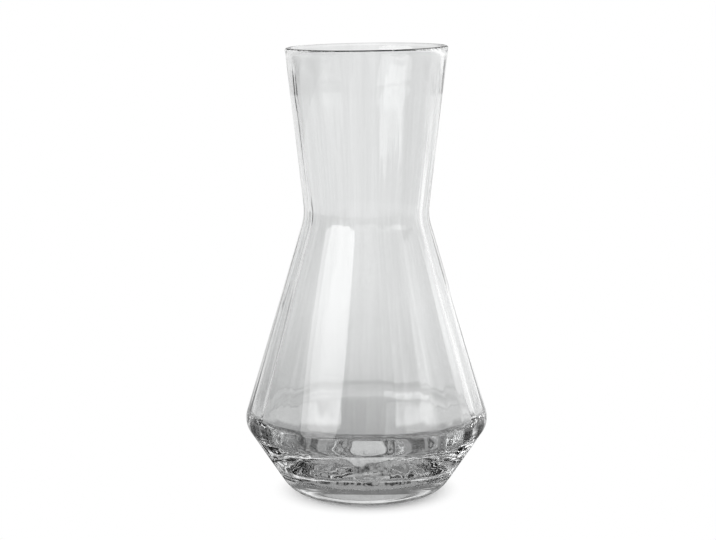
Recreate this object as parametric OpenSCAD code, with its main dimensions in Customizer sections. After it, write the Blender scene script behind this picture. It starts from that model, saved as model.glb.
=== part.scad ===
// Water carafe: one piece of mould-blown glass.
// Two straight cones meet at a soft waist, the body ends in a low rounded belly, and a short
// cone runs in under it to a thick base. The outside is smooth. The inside carries the soft
// upright ribs of an optic mould, which rise out of a plain band under the rim, turn a little
// on their way down and fade out at the floor.
// The frame is +Z up, with the origin on the table under the centre of the base.

/* [Outside] */
// Height from the table to the top of the rim
height = 230; // [205:1:260]
// Diameter at the rim
rim_d = 82.6; // [76:0.2:92]
// Height of the waist, where the neck cone and the body cone cross
waist_h = 144.8; // [125:0.2:165]
// Diameter at the waist, where the two cones cross
waist_d = 63.4; // [56:0.2:72]
// Height of the belly, where the body cone and the base cone cross
belly_h = 37.3; // [30:0.1:46]
// Diameter at the belly, where the two cones cross
belly_d = 127; // [112:0.2:144]
// Diameter at the table, where the base cone would meet it
base_d = 77.7; // [70:0.1:90]
// Radius of the hollow blend at the waist
waist_blend = 25.5; // [12:0.5:34]
// Radius of the round blend at the belly
belly_blend = 10; // [7:0.2:15]
// Radius of the heel, where the base cone turns in to the table
heel_blend = 15.9; // [6:0.1:18]

/* [Wall and floor] */
// Wall at the rim, on the crest of a rib
rim_wall = 2; // [1.6:0.1:2.8]
// Wall at the waist, on the crest of a rib
waist_wall = 2.6; // [2:0.1:3.4]
// Wall at the belly, on the crest of a rib
belly_wall = 4; // [3:0.1:5]
// Level thickness of the wall beside the edge of the floor
foot_wall = 11.8; // [8:0.1:14]
// Height of the edge of the floor above the table
floor_h = 13; // [9:0.2:15]
// How far the middle of the floor stands above its edge
floor_rise = 1.2; // [0.6:0.1:2]
// Radius of the round blend inside the belly
belly_inside_blend = 12.5; // [8:0.5:18]
// Radius of the blend inside, between the wall and the floor
floor_blend = 10; // [6:0.2:12]

/* [Lip] */
// Plain band under the rim, above the first trace of the ribs
lip_band = 1.6; // [1:0.2:4]
// How much thicker the plain band is than the wall below it
lip_bead = 0.25; // [0.2:0.05:0.4]

/* [Optic ribs] */
// Number of ribs round the inside
rib_count = 16; // [12:1:20]
// Depth of the flute between two crests
rib_depth = 0.8; // [0.4:0.1:1]
// Height over which the ribs rise out of the plain band
rib_run_in = 22; // [8:1:30]
// Turn of the ribs from the rim to the table, in degrees
rib_turn = 9; // [0:1:20]
// Direction of the first crest at the rim, in degrees from +X
rib_start = 17; // [0:1:22]

/* [Foot] */
// Width of the flat ring that the carafe stands on
foot_ring = 4.5; // [3:0.5:8]
// Depth of the hollow inside that ring
punt_depth = 1.8; // [1:0.1:2.6]

/* [Hidden] */

glass = [0.86, 0.88, 0.89, 0.4];
// Steps along one blend of the outside, and round a full circle
arc_steps = 12;
circle_steps = 128;
// Steps along one blend of the inside, and from one rib crest to the next
inside_arc_steps = 5;
rib_steps = 8;
// Longest stretch of straight wall between two rings of the ribbed hollow
ring_gap = 24;
// Share of the lip's thickness that each of its two edges is rounded by
lip_round_share = 0.48;
// Share of the floor blend's height above which the ribs have their full depth
rib_end_share = 0.8;

function unit(v) = v / norm(v);
function smooth(t) = let (s = min(1, max(0, t))) s * s * (3 - 2 * s);
function between(low, high, t) = low + (high - low) * t;

// The arc of radius r that rounds the corner b between a and c
function blend_arc(a, b, c, r, steps) =
    let (
        to_a = unit(a - b),
        to_c = unit(c - b),
        half = acos(to_a * to_c) / 2,
        centre = b + unit(to_a + to_c) * r / sin(half),
        start = b + to_a * r / tan(half) - centre,
        end = b + to_c * r / tan(half) - centre,
        from = atan2(start.y, start.x),
        turn = atan2(start.x * end.y - start.y * end.x, start * end)
    )
    [
        for (i = [0 : steps])
            let (angle = from + turn * i / steps)
                centre + r * [cos(angle), sin(angle)]
    ];

// The corners' path with every inner corner rounded by its own radius
function blended(corners, radii, steps) = [
    corners[0],
    for (i = [1 : len(corners) - 2])
        each blend_arc(corners[i - 1], corners[i], corners[i + 1], radii[i - 1], steps),
    corners[len(corners) - 1]
];

// The same path with its long straight stretches cut into equal steps
function stepped(path, gap) = [
    for (i = [0 : len(path) - 2])
        let (count = max(1, ceil(norm(path[i + 1] - path[i]) / gap)))
            for (k = [0 : count - 1]) path[i] + (path[i + 1] - path[i]) * k / count,
    path[len(path) - 1]
];

// Levels in the neck: the foot of the plain band, and where the ribs have their full depth
band_z = height - lip_band;
run_in_z = band_z - rib_run_in;

// Radius of the inside at height z of the straight neck, on the crest of a rib
function neck_inside(z) =
    let (t = (z - waist_h) / (height - waist_h))
        between(waist_d, rim_d, t) / 2 - between(waist_wall, rim_wall, t);

// The inside of the plain band stands in from that line by the bead
function band_inside(z) = neck_inside(z) - lip_bead;

// Outline of the glass with its mouth open and no hollow under it yet
lip_round = (rim_d / 2 - band_inside(height)) * lip_round_share;
outside = [
    [0, run_in_z],
    each blended(
        [
            [band_inside(run_in_z), run_in_z],
            [band_inside(height), height],
            [rim_d / 2, height],
            [waist_d / 2, waist_h],
            [belly_d / 2, belly_h],
            [base_d / 2, 0],
            [0, 0]
        ],
        [lip_round, lip_round, waist_blend, belly_blend, heel_blend],
        arc_steps
    )
];

// Outline of the hollow on the crest of a rib. It starts inside the plain band, widens past it
// and follows the outside down to the floor.
floor_edge = between(base_d, belly_d, floor_h / belly_h) / 2 - foot_wall;
inside = blended(
    [
        [band_inside(band_z) - lip_bead, band_z],
        [neck_inside(run_in_z), run_in_z],
        [waist_d / 2 - waist_wall, waist_h],
        [belly_d / 2 - belly_wall, belly_h],
        [floor_edge, floor_h],
        [0, floor_h + floor_rise]
    ],
    [rib_run_in, waist_blend + waist_wall, belly_inside_blend, floor_blend],
    inside_arc_steps
);
rings = [for (p = stepped(inside, ring_gap)) if (p.x > 0) p];
around = rib_count * rib_steps;

// Depth of the flutes at height z: none in the plain band, none on the floor
function flute_depth(z) =
    rib_depth
    * smooth((band_z - z) / rib_run_in)
    * smooth((z - floor_h) / (floor_blend * rib_end_share));

// One ring of the hollow, with its flutes cut outwards from the crest line
function ribbed_ring(p) = [
    for (k = [0 : around - 1])
        let (
            r = p.x + flute_depth(p.y) * (1 - cos(360 * k / rib_steps)) / 2,
            angle = rib_start + 360 * k / around + rib_turn * (height - p.y) / height
        )
            [r * cos(angle), r * sin(angle), p.y]
];

// The hollow inside the carafe: rings from the plain band down to the floor, closed at each
// end by a fan of triangles on a middle point
module ribbed_hollow() {
    last = len(rings) - 1;
    top = len(rings) * around;
    bottom = top + 1;
    points = [
        for (p = rings) each ribbed_ring(p),
        [0, 0, band_z],
        [0, 0, floor_h + floor_rise]
    ];
    faces = [
        for (k = [0 : around - 1])
            let (next = (k + 1) % around)
                each [
                    [top, next, k],
                    [bottom, last * around + k, last * around + next],
                    for (upper = [0 : around : (last - 1) * around])
                        each [
                            [upper + k, upper + next, upper + around + next],
                            [upper + k, upper + around + next, upper + around + k]
                        ]
                ]
    ];
    polyhedron(points, faces);
}

// The shallow hollow under the base, inside the flat ring of the foot
module punt() {
    heel_half_angle = atan2(belly_h, belly_d / 2 - base_d / 2) / 2;
    contact_r = base_d / 2 - heel_blend * tan(heel_half_angle);
    punt_r = contact_r - foot_ring;
    ball_r = (punt_r * punt_r + punt_depth * punt_depth) / (2 * punt_depth);
    translate([0, 0, punt_depth - ball_r])
        sphere(r = ball_r, $fn = circle_steps);
}

module carafe_glass() {
    color(glass)
        difference() {
            rotate_extrude($fn = circle_steps)
                polygon(outside);
            ribbed_hollow();
            punt();
        }
}

carafe_glass();
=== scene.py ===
"""A water carafe of clear mould-blown glass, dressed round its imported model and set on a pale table."""

import math

import bpy
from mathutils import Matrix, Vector


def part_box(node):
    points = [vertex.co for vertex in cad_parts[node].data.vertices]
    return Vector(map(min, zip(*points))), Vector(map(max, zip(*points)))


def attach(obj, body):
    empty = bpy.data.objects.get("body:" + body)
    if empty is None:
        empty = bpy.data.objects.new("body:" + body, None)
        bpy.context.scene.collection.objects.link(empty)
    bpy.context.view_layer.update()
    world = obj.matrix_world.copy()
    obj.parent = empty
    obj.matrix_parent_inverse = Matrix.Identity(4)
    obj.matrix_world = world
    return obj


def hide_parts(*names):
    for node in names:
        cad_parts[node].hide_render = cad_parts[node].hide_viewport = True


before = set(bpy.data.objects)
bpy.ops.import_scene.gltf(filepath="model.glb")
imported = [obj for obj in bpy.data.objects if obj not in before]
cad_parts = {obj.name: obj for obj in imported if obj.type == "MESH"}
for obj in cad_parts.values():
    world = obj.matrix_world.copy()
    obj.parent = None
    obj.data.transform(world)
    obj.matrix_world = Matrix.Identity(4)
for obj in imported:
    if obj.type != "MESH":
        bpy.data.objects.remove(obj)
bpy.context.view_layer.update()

# The view.
# The camera stands a little above the rim and looks down on the carafe with a long lens, so the
# rim is seen almost edge on and the base from further above.
camera_sensor, camera_lens, camera_shift = 36.0, 91.3, -0.0119
camera_place, camera_tilt = (0.0, -0.920, 0.2737), 0.170
camera_data = bpy.data.cameras.new("camera")
camera_data.sensor_width = camera_sensor
camera_data.lens = camera_lens
camera_data.shift_x = camera_shift
camera = bpy.data.objects.new("camera", camera_data)
camera.location = camera_place
camera.rotation_euler = (math.pi / 2 - camera_tilt, 0.0, 0.0)
bpy.context.scene.collection.objects.link(camera)
bpy.context.scene.camera = camera

# The blown glass.
# The real carafe is one wall of soda-lime glass: blown into a ribbed mould, then into a smooth
# one, so its outside is smooth and its inside keeps the soft ribs. The rim is fire-polished.
rim_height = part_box("carafe_glass")[1].z
rim_radius = 0.0413
waist_height, waist_radius = 0.1448, 0.0317
belly_height, belly_radius = 0.0373, 0.0635
base_radius = 0.03885
rim_wall, waist_wall, belly_wall, foot_wall = 0.0020, 0.0026, 0.0040, 0.0118
floor_height, floor_rise = 0.0130, 0.0012
waist_blend, belly_blend, heel_blend = 0.0255, 0.0100, 0.0159
inner_belly_blend, floor_blend = 0.0125, 0.0100
lip_band, lip_bead, lip_round_share = 0.0016, 0.00025, 0.48
punt_radius, punt_depth, punt_blend, punt_edge_blend = 0.0258, 0.0018, 0.030, 0.0015
punt_shoulder_share, punt_shoulder_depth_share = 0.5, 0.75
# Steps along each blend, the longest straight step, and the steps round the wall for each rib
punt_steps, punt_edge_steps, heel_steps, belly_steps, waist_steps, lip_steps = 6, 4, 16, 20, 12, 8
run_in_steps, floor_steps = 4, 18
longest_step, rib_steps = 0.0030, 20
rib_count, rib_depth, rib_run_in, rib_fade_share = 16, 0.0004, 0.0220, 0.8
rib_turn, rib_phase = math.radians(9.0), math.radians(17.0)
# The rim rises to one side by this slope, and the slant starts this far below it
rim_slant, slant_reach = 0.0157, 0.05
# Streaks run down the inside of the wall, and waves lie on the floor. The girth share is the
# wall's mean radius as a share of the height.
streak_depth, streak_width, streak_length, streak_detail = 0.0004, 0.0040, 0.0800, 1.0
girth_share = 0.2
wave_depth, wave_size, wave_squash, wave_detail = 0.0004, 0.0075, 3.0, 1.0
# The seam and the two poles are closed by joining points that lie within this distance
weld_distance = 0.000002
# Streaks of tint: how many go round, how long they are, and between which levels of the noise
draw_fineness, draw_length, draw_detail = 9.0, 0.150, 3.0
draw_low, draw_high = 0.3, 0.7
dark_tint, pale_tint = (0.855, 0.860, 0.860, 1.0), (0.905, 0.910, 0.910, 1.0)
glass_ior = 1.5


def blend(before, corner, after, radius, steps):
    """The arc of that radius which rounds a corner of the outline."""
    before, corner, after = Vector(before), Vector(corner), Vector(after)
    to_before = (before - corner).normalized()
    to_after = (after - corner).normalized()
    half = to_before.angle(to_after) / 2
    centre = corner + (to_before + to_after).normalized() * (radius / math.sin(half))
    start = corner + to_before * (radius / math.tan(half)) - centre
    turn = start.angle_signed(corner + to_after * (radius / math.tan(half)) - centre)
    points = []
    for step in range(steps + 1):
        angle = -turn * step / steps
        c, s = math.cos(angle), math.sin(angle)
        points.append(centre + Vector((start.x * c - start.y * s, start.x * s + start.y * c)))
    return points


def rounded_path(corners):
    """Corners are (radius, height, blend, steps). Long straight stretches are cut into equal steps."""
    places = [corner[:2] for corner in corners]
    path = [Vector(places[0])]
    for i in range(1, len(corners) - 1):
        blend_radius, steps = corners[i][2:]
        if blend_radius:
            path += blend(places[i - 1], places[i], places[i + 1], blend_radius, steps)
        else:
            path.append(Vector(places[i]))
    path.append(Vector(places[-1]))
    fine = [path[0]]
    for start, end in zip(path, path[1:]):
        count = max(1, math.ceil((end - start).length / longest_step))
        fine += [start.lerp(end, step / count) for step in range(1, count + 1)]
    return fine


def mix(low, high, share):
    return low + (high - low) * share


def outline_mesh():
    """The outline of the glass from the middle of the punt, up the outside and down to the floor."""
    lip = rim_wall + lip_bead
    lip_blend = lip * lip_round_share
    mouth_radius = rim_radius - lip
    band_height = rim_height - lip_band
    ribs_height = band_height - rib_run_in
    neck_share = (ribs_height - waist_height) / (rim_height - waist_height)
    ribs_radius = mix(waist_radius - waist_wall, rim_radius - rim_wall, neck_share)
    band_foot = (mix(mouth_radius, ribs_radius, 0.5), band_height, 0.0, 0)
    floor_radius = mix(base_radius, belly_radius, floor_height / belly_height) - foot_wall
    shoulder_radius = punt_radius * punt_shoulder_share
    shoulder_height = punt_depth * punt_shoulder_depth_share
    outside = rounded_path([
        (0.0, punt_depth, 0.0, 0),
        (shoulder_radius, shoulder_height, punt_blend, punt_steps),
        (punt_radius, 0.0, punt_edge_blend, punt_edge_steps),
        (base_radius, 0.0, heel_blend, heel_steps),
        (belly_radius, belly_height, belly_blend, belly_steps),
        (waist_radius, waist_height, waist_blend, waist_steps),
        (rim_radius, rim_height, lip_blend, lip_steps),
        (mouth_radius, rim_height, lip_blend, lip_steps),
        band_foot,
    ])
    inside = rounded_path([
        band_foot,
        (ribs_radius, ribs_height, rib_run_in, run_in_steps),
        (waist_radius - waist_wall, waist_height, waist_blend + waist_wall, waist_steps),
        (belly_radius - belly_wall, belly_height, inner_belly_blend, belly_steps),
        (floor_radius, floor_height, floor_blend, floor_steps),
        (0.0, floor_height + floor_rise, 0.0, 0),
    ])
    path = outside + inside[1:]
    mesh = bpy.data.meshes.new("glass_outline")
    mesh.from_pydata([(p.x, 0.0, p.y) for p in path], [(i, i + 1) for i in range(len(path) - 1)], [])
    mark = mesh.attributes.new("inside", "FLOAT", "POINT")
    mark.data.foreach_set("value", [float(i >= len(outside)) for i in range(len(path))])
    return mesh


class Nodes:
    """A node tree under construction, with short calls for what is placed again and again."""

    def __init__(self, tree):
        self.tree = tree

    def add(self, kind, **settings):
        node = self.tree.nodes.new(kind)
        for name, value in settings.items():
            setattr(node, name, value)
        return node

    def feed(self, socket, value):
        if isinstance(value, bpy.types.NodeSocket):
            self.tree.links.new(value, socket)
        else:
            socket.default_value = value

    def math(self, operation, *values):
        node = self.add("ShaderNodeMath", operation=operation)
        for socket, value in zip(node.inputs, values):
            self.feed(socket, value)
        return node.outputs[0]

    def product(self, first, *others):
        """Multiplies the values one after another."""
        for value in others:
            first = self.math("MULTIPLY", first, value)
        return first

    def vector(self, operation, *values):
        """Works on vectors. A length, a distance and a dot product come out as one number."""
        node = self.add("ShaderNodeVectorMath", operation=operation)
        for socket, value in zip(node.inputs, values):
            self.feed(socket, value)
        measured = operation in ("LENGTH", "DISTANCE", "DOT_PRODUCT")
        return node.outputs["Value" if measured else "Vector"]

    def joined(self, *parts):
        """The vector with these three parts."""
        node = self.add("ShaderNodeCombineXYZ")
        for socket, value in zip(node.inputs, parts):
            self.feed(socket, value)
        return node.outputs[0]

    def parts(self, vector):
        """The parts of a vector, by the names X, Y and Z."""
        node = self.add("ShaderNodeSeparateXYZ")
        self.feed(node.inputs[0], vector)
        return node.outputs

    def heading(self, place):
        """The level direction of a place from the axis, 1 long."""
        return self.vector("NORMALIZE", self.vector("MULTIPLY", place, (1.0, 1.0, 0.0)))

    def noise(self, place, scale, detail):
        """Soft noise at a place, with the outputs Fac and Color."""
        node = self.add("ShaderNodeTexNoise")
        for name, given in (("Vector", place), ("Scale", scale), ("Detail", detail)):
            self.feed(node.inputs[name], given)
        return node.outputs

    def mixed(self, low, high, share):
        """Goes from low to high as share goes from 0 to 1."""
        return self.math("ADD", low, self.product(share, self.math("SUBTRACT", high, low)))

    def ramp(self, value, start, end):
        """Rises smoothly from 0 to 1 as value goes from start to end."""
        node = self.add("ShaderNodeMapRange", interpolation_type="SMOOTHSTEP")
        for name, given in (("Value", value), ("From Min", start), ("From Max", end)):
            self.feed(node.inputs[name], given)
        return node.outputs["Result"]

    def between(self, value, start, full, last, end):
        """Rises from 0 to 1 from start to full, and falls back to 0 from last to end."""
        return self.math("SUBTRACT", self.ramp(value, start, full), self.ramp(value, last, end))


def ribbed_lathe_tree():
    """Turns an outline round +Z and presses the optic ribs into the part that is marked inside."""
    tree = bpy.data.node_groups.new("ribbed_lathe", "GeometryNodeTree")
    sockets = tree.interface
    sockets.new_socket("Outline", in_out="INPUT", socket_type="NodeSocketGeometry")
    for name in ("Steps Around", "Rib Count"):
        sockets.new_socket(name, in_out="INPUT", socket_type="NodeSocketInt")
    for name in (
        "Rib Depth", "Rib Turn", "Rib Phase", "Rim Height", "Rib Top", "Rib Full", "Rib Foot",
        "Rib Fade", "Rim Slant", "Slant Start", "Streak Depth", "Streak Width", "Streak Length",
        "Wave Depth", "Wave Size", "Wave Squash", "Wave Top",
    ):
        sockets.new_socket(name, in_out="INPUT", socket_type="NodeSocketFloat")
    sockets.new_socket("Glass", in_out="INPUT", socket_type="NodeSocketMaterial")
    sockets.new_socket("Wall", in_out="OUTPUT", socket_type="NodeSocketGeometry")
    n = Nodes(tree)
    given = n.add("NodeGroupInput").outputs

    # A flat grid with one row for each point of the outline
    count = n.add("GeometryNodeAttributeDomainSize")
    n.feed(count.inputs["Geometry"], given["Outline"])
    columns = n.math("ADD", given["Steps Around"], 1.0)
    grid = n.add("GeometryNodeMeshGrid")
    n.feed(grid.inputs["Vertices X"], count.outputs["Point Count"])
    n.feed(grid.inputs["Vertices Y"], columns)
    index = n.add("GeometryNodeInputIndex").outputs[0]
    ring = n.math("FLOOR", n.math("DIVIDE", n.math("ADD", index, 0.5), columns))
    column = n.math("SUBTRACT", index, n.product(ring, columns))

    def sampled(value, kind):
        """Reads a value of the outline at the point that a row of the grid stands for."""
        node = n.add("GeometryNodeSampleIndex", data_type=kind)
        for name, source in (("Geometry", given["Outline"]), ("Value", value), ("Index", ring)):
            n.feed(node.inputs[name], source)
        return node.outputs[0]

    place = n.parts(sampled(n.add("GeometryNodeInputPosition").outputs[0], "FLOAT_VECTOR"))
    radius, height = place["X"], place["Z"]
    mark = n.add("GeometryNodeInputNamedAttribute", data_type="FLOAT")
    n.feed(mark.inputs["Name"], "inside")
    inside = sampled(mark.outputs["Attribute"], "FLOAT")

    # The flutes between the ribs are cut outwards from the outline, and turn on their way down
    around = n.product(n.math("DIVIDE", column, given["Steps Around"]), math.tau)
    down = n.math("SUBTRACT", 1.0, n.math("DIVIDE", height, given["Rim Height"]))
    turned = n.math("ADD", n.product(down, given["Rib Turn"]), given["Rib Phase"])
    angle = n.math("ADD", around, turned)
    cosine, sine = n.math("COSINE", angle), n.math("SINE", angle)
    wave = n.math("COSINE", n.product(around, given["Rib Count"]))
    flute = n.product(n.math("SUBTRACT", 1.0, wave), 0.5)
    run_in = n.ramp(height, given["Rib Top"], given["Rib Full"])
    fade = n.ramp(height, given["Rib Foot"], given["Rib Fade"])
    pressed = n.product(flute, n.product(run_in, fade, given["Rib Depth"]), inside)

    # Streaks are long in height and narrow round the wall; waves are lumps near the floor
    girth = n.product(n.math("DIVIDE", given["Rim Height"], given["Streak Width"]), girth_share)
    lengthways = n.math("DIVIDE", height, given["Streak Length"])
    streak_spot = n.joined(n.product(cosine, girth), n.product(sine, girth), lengthways)
    streak_noise = n.noise(streak_spot, 1.0, streak_detail)["Fac"]
    streak = n.product(n.math("SUBTRACT", streak_noise, 0.5), given["Streak Depth"])
    streak = n.product(streak, n.product(run_in, fade, inside))
    squashed = n.product(height, given["Wave Squash"])
    lump_spot = n.joined(n.product(cosine, radius), n.product(sine, radius), squashed)
    lumps = n.noise(lump_spot, n.math("DIVIDE", 1.0, given["Wave Size"]), wave_detail)
    lump = n.parts(lumps["Color"])
    low = n.product(n.ramp(height, given["Wave Top"], given["Rib Foot"]), inside)
    strength = n.product(low, given["Wave Depth"])
    sideways = n.product(n.math("SUBTRACT", lump["X"], 0.5), strength)
    upwards = n.product(n.math("SUBTRACT", lump["Y"], 0.5), strength)

    # The grid is turned into the wall. The middle of floor and punt stays one point.
    off_axis = n.ramp(radius, 0.0, given["Wave Size"])
    swayed = n.product(n.math("ADD", streak, sideways), off_axis)
    reach = n.math("ADD", n.math("ADD", radius, pressed), swayed)
    x, y = n.product(cosine, reach), n.product(sine, reach)
    slope = n.product(n.ramp(height, given["Slant Start"], given["Rim Height"]), given["Rim Slant"])
    lifted = n.math("ADD", height, n.product(upwards, off_axis))
    placed = n.add("GeometryNodeSetPosition")
    n.feed(placed.inputs["Geometry"], grid.outputs["Mesh"])
    n.feed(placed.inputs["Position"], n.joined(x, y, n.math("ADD", lifted, n.product(x, slope))))

    closed = n.add("GeometryNodeMergeByDistance")
    n.feed(closed.inputs["Geometry"], placed.outputs[0])
    n.feed(closed.inputs["Distance"], weld_distance)
    flipped = n.add("GeometryNodeFlipFaces")
    n.feed(flipped.inputs[0], closed.outputs[0])
    smooth = n.add("GeometryNodeSetShadeSmooth")
    n.feed(smooth.inputs["Geometry"], flipped.outputs[0])
    real = n.add("GeometryNodeRealizeInstances")
    n.feed(real.inputs[0], smooth.outputs[0])
    finished = n.add("GeometryNodeSetMaterial")
    n.feed(finished.inputs["Geometry"], real.outputs[0])
    n.feed(finished.inputs["Material"], given["Glass"])
    n.feed(n.add("NodeGroupOutput").inputs["Wall"], finished.outputs[0])
    return tree


def glass_material():
    """Clear glass, very slightly grey, with faint streaks of tint down the wall."""
    material = bpy.data.materials.new("blown_clear_glass")
    material.use_nodes = True
    n = Nodes(material.node_tree)
    shader = material.node_tree.nodes["Principled BSDF"]
    place = n.add("ShaderNodeTexCoord").outputs["Object"]
    round_wall = n.vector("MULTIPLY", n.heading(place), (draw_fineness, draw_fineness, 0.0))
    down_wall = n.vector("MULTIPLY", place, (0.0, 0.0, 1.0 / draw_length))
    streaks = n.noise(n.vector("ADD", round_wall, down_wall), 1.0, draw_detail)
    tint = n.add("ShaderNodeMix", data_type="RGBA")
    n.feed(tint.inputs["Factor"], n.ramp(streaks["Fac"], draw_low, draw_high))
    tint.inputs[6].default_value = dark_tint
    tint.inputs[7].default_value = pale_tint
    n.feed(shader.inputs["Base Color"], tint.outputs[2])
    shader.inputs["Roughness"].default_value = 0.0
    shader.inputs["IOR"].default_value = glass_ior
    shader.inputs["Transmission Weight"].default_value = 1.0
    return material


def set_inputs(modifier, values):
    """Sets a modifier's inputs by the identifiers of their sockets."""
    for item in modifier.node_group.interface.items_tree:
        if item.item_type == "SOCKET" and item.in_out == "INPUT" and item.name in values:
            modifier[item.identifier] = values[item.name]


outline = bpy.data.objects.new("glass_outline", outline_mesh())
bpy.context.scene.collection.objects.link(outline)
lathe = outline.modifiers.new("ribbed_lathe", "NODES")
lathe.node_group = ribbed_lathe_tree()
set_inputs(lathe, {
    "Steps Around": rib_count * rib_steps,
    "Rib Count": rib_count,
    "Rib Depth": rib_depth,
    "Rib Turn": rib_turn,
    "Rib Phase": rib_phase,
    "Rim Height": rim_height,
    "Rib Top": rim_height - lip_band,
    "Rib Full": rim_height - lip_band - rib_run_in,
    "Rib Foot": floor_height,
    "Rib Fade": floor_height + floor_blend * rib_fade_share,
    "Rim Slant": rim_slant,
    "Slant Start": rim_height - slant_reach,
    "Streak Depth": streak_depth,
    "Streak Width": streak_width,
    "Streak Length": streak_length,
    "Wave Depth": wave_depth,
    "Wave Size": wave_size,
    "Wave Squash": wave_squash,
    "Wave Top": belly_height,
    "Glass": glass_material(),
})
evaluated = outline.evaluated_get(bpy.context.evaluated_depsgraph_get())
carafe = bpy.data.objects.new("blown_carafe", bpy.data.meshes.new_from_object(evaluated))
bpy.data.objects.remove(outline)
bpy.context.scene.collection.objects.link(carafe)
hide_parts("carafe_glass")
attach(carafe, "root")

# The table.
# A matt table top in pale grey. Seen directly it keeps the carafe's soft shadow near the base and
# turns white further off. The glass sees it glow in painted tones instead, which go by distance and
# direction: painted shadow round the foot and beside the carafe, and painted light behind and in front.
table_radius, table_edges, table_drop = 0.9, 96, 0.0002
table_colour, table_roughness, table_specular = (0.66, 0.66, 0.66, 1.0), 0.9, 0.1
# The camera sees the matt top inside the first radius and white beyond the second
near_radius, far_radius = 0.024, 0.050
# Painted tones that the table glows with for the glass, by distance from the axis: painted light under
# the punt, then a thin dark ring of painted shade and a grey one, and a dark painted shadow where the
# foot meets the table, reaching further out behind it than in front
painted_ring_tones = [
    (0.0215, 0.80),
    (0.0228, 0.06),
    (0.0236, 0.06),
    (0.0250, 0.34),
    (0.0288, 0.34),
    (0.0300, 0.02),
]
painted_shadow_end, painted_shadow_gone, painted_shadow_shift = 0.0315, 0.0335, 0.0040
# Round the foot the painted tone is grey. Further off a painted shadow lies dark beside the carafe,
# which then turns pale, and in front the table glows with painted light brighter than white.
near_tone = 0.36
rings_end, rings_gone = 0.052, 0.066
painted_side_shade, side_far_tone, painted_front_light = 0.10, 0.95, 1.30
side_start, side_end = 0.19, 0.38
# Behind the carafe painted light rises to white, with a step, brightest on the right and faintest on
# the left. Behind and in front reach to these angles on each side, with a soft edge.
back_end, back_power, back_step = 0.60, 0.4, 0.07
step_start, step_end = 0.185, 0.225
bright_gain, bright_from, bright_to = 1.20, 0.05, 0.35
faint_gain, faint_from, faint_to = 0.84, -0.22, -0.45
back_core, back_edge = math.radians(35.0), math.radians(65.0)
# Two soft bright lobes of painted caustic light lie on the table behind the carafe, one to each side
painted_lobe_light, painted_lobe_sides, painted_lobe_reach = 0.78, (0.15, 0.22, 0.50, 0.60), (0.095, 0.105, 0.170, 0.190)
# Painted caustics round the foot: the tone is darkened along thin curling lines of painted shade
curl_size, curl_width, painted_curl_shade, curl_detail = 0.0060, 0.10, 0.0, 2.0
curl_start, curl_full = 0.034, 0.038
curl_end, curl_gone, curl_end_behind, curl_gone_behind = 0.110, 0.160, 0.070, 0.078


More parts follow.
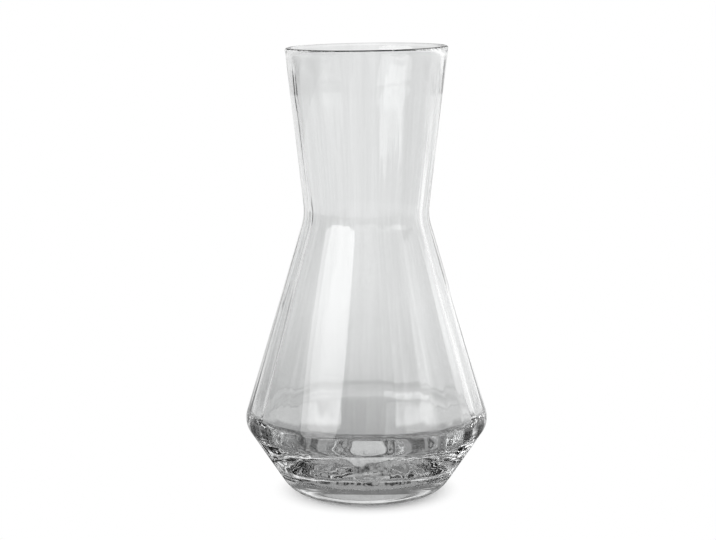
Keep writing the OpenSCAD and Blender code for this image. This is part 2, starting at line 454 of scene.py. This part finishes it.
def table_material():
    """Matt grey near the foot and white further off; to the glass it glows with painted shadow and light.
    """
    material = bpy.data.materials.new("pale_table_with_painted_light")
    material.use_nodes = True
    n = Nodes(material.node_tree)
    shader = material.node_tree.nodes["Principled BSDF"]
    shader.inputs["Base Color"].default_value = table_colour
    shader.inputs["Roughness"].default_value = table_roughness
    shader.inputs["Specular IOR Level"].default_value = table_specular
    spot = n.add("ShaderNodeTexCoord").outputs["Object"]
    distance = n.vector("LENGTH", spot)
    towards = n.parts(n.vector("NORMALIZE", spot))
    behind = n.ramp(towards["Y"], math.cos(back_edge), math.cos(back_core))
    before = n.ramp(towards["Y"], -math.cos(back_edge), -math.cos(back_core))

    # Painted light under the punt and rings of painted shade round it
    close_tone = painted_ring_tones[0][1]
    for (inner, tone), (outer, next_tone) in zip(painted_ring_tones, painted_ring_tones[1:]):
        change = n.product(n.ramp(distance, inner, outer), next_tone - tone)
        close_tone = n.math("ADD", close_tone, change)
    # The dark painted shadow at the edge of the foot reaches further out behind the carafe
    painted_shadow_distance = n.vector("DISTANCE", spot, (0.0, painted_shadow_shift, 0.0))
    close_tone = n.mixed(close_tone, near_tone, n.ramp(painted_shadow_distance, painted_shadow_end, painted_shadow_gone))

    # Painted light behind the carafe, painted shadow beside it and brighter painted light in front
    past_step = n.ramp(distance, step_start, step_end)
    back_tone = n.math("POWER", n.math("DIVIDE", distance, back_end), back_power)
    back_tone = n.math("MINIMUM", n.math("ADD", back_tone, n.product(past_step, back_step)), 1.0)
    right = n.product(past_step, n.ramp(towards["X"], bright_from, bright_to))
    left = n.product(past_step, n.ramp(towards["X"], faint_from, faint_to))
    back_tone = n.product(back_tone, n.mixed(1.0, bright_gain, right), n.mixed(1.0, faint_gain, left))
    aside = n.math("ABSOLUTE", towards["X"])
    # Two bright lobes of painted caustic light behind the carafe
    painted_lobes_mask = n.product(n.between(aside, *painted_lobe_sides), n.between(distance, *painted_lobe_reach))
    back_tone = n.mixed(back_tone, painted_lobe_light, painted_lobes_mask)
    beside_tone = n.mixed(painted_side_shade, side_far_tone, n.ramp(distance, side_start, side_end))
    far_tone = n.mixed(n.mixed(beside_tone, back_tone, behind), painted_front_light, before)
    tone = n.mixed(close_tone, far_tone, n.ramp(distance, rings_end, rings_gone))

    # Thin dark lines of painted caustic shade curling round the foot
    curls = n.noise(spot, 1.0 / curl_size, curl_detail)["Fac"]
    off_line = n.math("ABSOLUTE", n.math("SUBTRACT", curls, 0.5))
    painted_caustic_lines = n.math("SUBTRACT", 1.0, n.ramp(off_line, 0.0, curl_width))
    curl_last = n.mixed(curl_end, curl_end_behind, behind)
    curl_none = n.mixed(curl_gone, curl_gone_behind, behind)
    reach = n.between(distance, curl_start, curl_full, curl_last, curl_none)
    tone = n.product(tone, n.mixed(1.0, painted_curl_shade, n.product(painted_caustic_lines, reach)))

    # Glass rays see the painted tones as a glow in place of the lit table; camera rays see white further
    # off
    ray = n.add("ShaderNodeLightPath").outputs
    seen = n.math("MAXIMUM", ray["Is Glossy Ray"], ray["Is Transmission Ray"])
    direct = n.product(n.ramp(distance, near_radius, far_radius), ray["Is Camera Ray"])
    light = n.add("ShaderNodeEmission")
    n.feed(light.inputs["Strength"], n.math("ADD", n.product(tone, seen), ray["Is Camera Ray"]))
    both = n.add("ShaderNodeMixShader")
    n.feed(both.inputs[0], n.math("MAXIMUM", direct, seen))
    n.feed(both.inputs[1], shader.outputs[0])
    n.feed(both.inputs[2], light.outputs[0])
    n.feed(material.node_tree.nodes["Material Output"].inputs["Surface"], both.outputs[0])
    return material


bpy.ops.mesh.primitive_circle_add(vertices=table_edges, radius=table_radius, fill_type="NGON")
table = bpy.context.object
table.name = "table"
table.data.materials.append(table_material())
table.location.z = -table_drop

# The studio.
# A bright room in soft tones, as the glass sees it. A dark wall stands behind the carafe, narrow
# near the table and wide higher up. The left is dimmer, and a small bright card stands at the
# right. One large oval soft box lights all of it from the front left. The camera sees white.
room_light, room_tone = 0.85, 0.92
# A place is a heading, its core and its edge in degrees: 0 is behind the carafe, 90 at its right.
# Starts, ends and rises are elevations in degrees.
wall_tone, wall_place, wall_start, wall_end = 0.20, (0.0, 85.0, 110.0), 9.0, 13.0
low_place, low_start, low_end = (0.0, 18.0, 32.0), 1.0, 7.0
high_tone, high_place, high_start, high_end = 0.55, (0.0, 20.0, 40.0), 26.0, 30.0
lit_tone, lit_place = 1.15, (50.0, 25.0, 35.0)
dim_tone, dim_place = 0.42, (-85.0, 35.0, 50.0)
shade_tone, shade_place, shade_start, shade_end = 0.35, (135.0, 25.0, 40.0), 17.0, 22.0
card_tone, card_place, card_rises = 2.2, (120.0, 12.0, 18.0), (5.0, 7.0, 14.0, 16.0)
white = (1.0, 1.0, 1.0, 1.0)
world = bpy.data.worlds.new("bright_room")
bpy.context.scene.world = world
world.use_nodes = True
room = Nodes(world.node_tree)
looking = room.add("ShaderNodeTexCoord").outputs["Generated"]
heading = room.heading(looking)
rise = room.parts(looking)["Z"]


def facing(direction, core, edge):
    """1 towards that heading of the room and 0 away from it, with a soft edge."""
    turn = math.radians(direction)
    across = room.vector("DOT_PRODUCT", heading, (math.sin(turn), math.cos(turn), 0.0))
    return room.ramp(across, math.cos(math.radians(edge)), math.cos(math.radians(core)))


def rising(start, end):
    """0 below the first elevation and 1 above the second."""
    return room.ramp(rise, math.sin(math.radians(start)), math.sin(math.radians(end)))


tone = room.mixed(room_tone, dim_tone, facing(*dim_place))
tone = room.mixed(tone, lit_tone, facing(*lit_place))
shade = room.product(rising(shade_start, shade_end), facing(*shade_place))
tone = room.mixed(tone, shade_tone, shade)
low_wall = room.product(rising(low_start, low_end), facing(*low_place))
upper_wall = room.product(rising(wall_start, wall_end), facing(*wall_place))
tone = room.mixed(tone, wall_tone, room.math("MAXIMUM", low_wall, upper_wall))
tone = room.mixed(tone, high_tone, room.product(rising(high_start, high_end), facing(*high_place)))
card_sines = [math.sin(math.radians(elevation)) for elevation in card_rises]
card = room.product(room.between(rise, *card_sines), facing(*card_place))
tone = room.mixed(tone, card_tone, card)
ray = room.add("ShaderNodeLightPath").outputs
seen = room.math("MAXIMUM", ray["Is Glossy Ray"], ray["Is Transmission Ray"])
light = room.mixed(room_light, tone, seen)
camera_white = room.product(ray["Is Camera Ray"], room.math("SUBTRACT", 1.0, light))
background = world.node_tree.nodes["Background"]
room.feed(background.inputs["Strength"], room.math("ADD", light, camera_white))
background.inputs["Color"].default_value = white

box_width, box_height, box_distance = 1.37, 0.95, 1.20
box_side, box_rise, box_aim = math.radians(-50.5), 0.725, 0.12
box_radiance = 2.7
soft_light = bpy.data.lights.new("soft_box", "AREA")
soft_light.shape = "ELLIPSE"
soft_light.size, soft_light.size_y = box_width, box_height
soft_light.energy = box_radiance * math.pi * box_width * box_height * math.pi / 4
soft_box = bpy.data.objects.new("soft_box", soft_light)
soft_box.location = (box_distance * math.sin(box_side), -box_distance * math.cos(box_side), box_rise)
aim = Vector((0.0, 0.0, box_aim)) - soft_box.location
soft_box.rotation_euler = aim.to_track_quat("-Z", "Y").to_euler()
soft_box.visible_camera = False
bpy.context.scene.collection.objects.link(soft_box)

# Light passes two walls of glass and is thrown about in the base, so it may bounce many times
glass_bounces, shine_bounces = 24, 16
scene = bpy.context.scene
scene.view_settings.view_transform = "Standard"
scene.cycles.max_bounces = glass_bounces
scene.cycles.transmission_bounces = glass_bounces
scene.cycles.glossy_bounces = shine_bounces
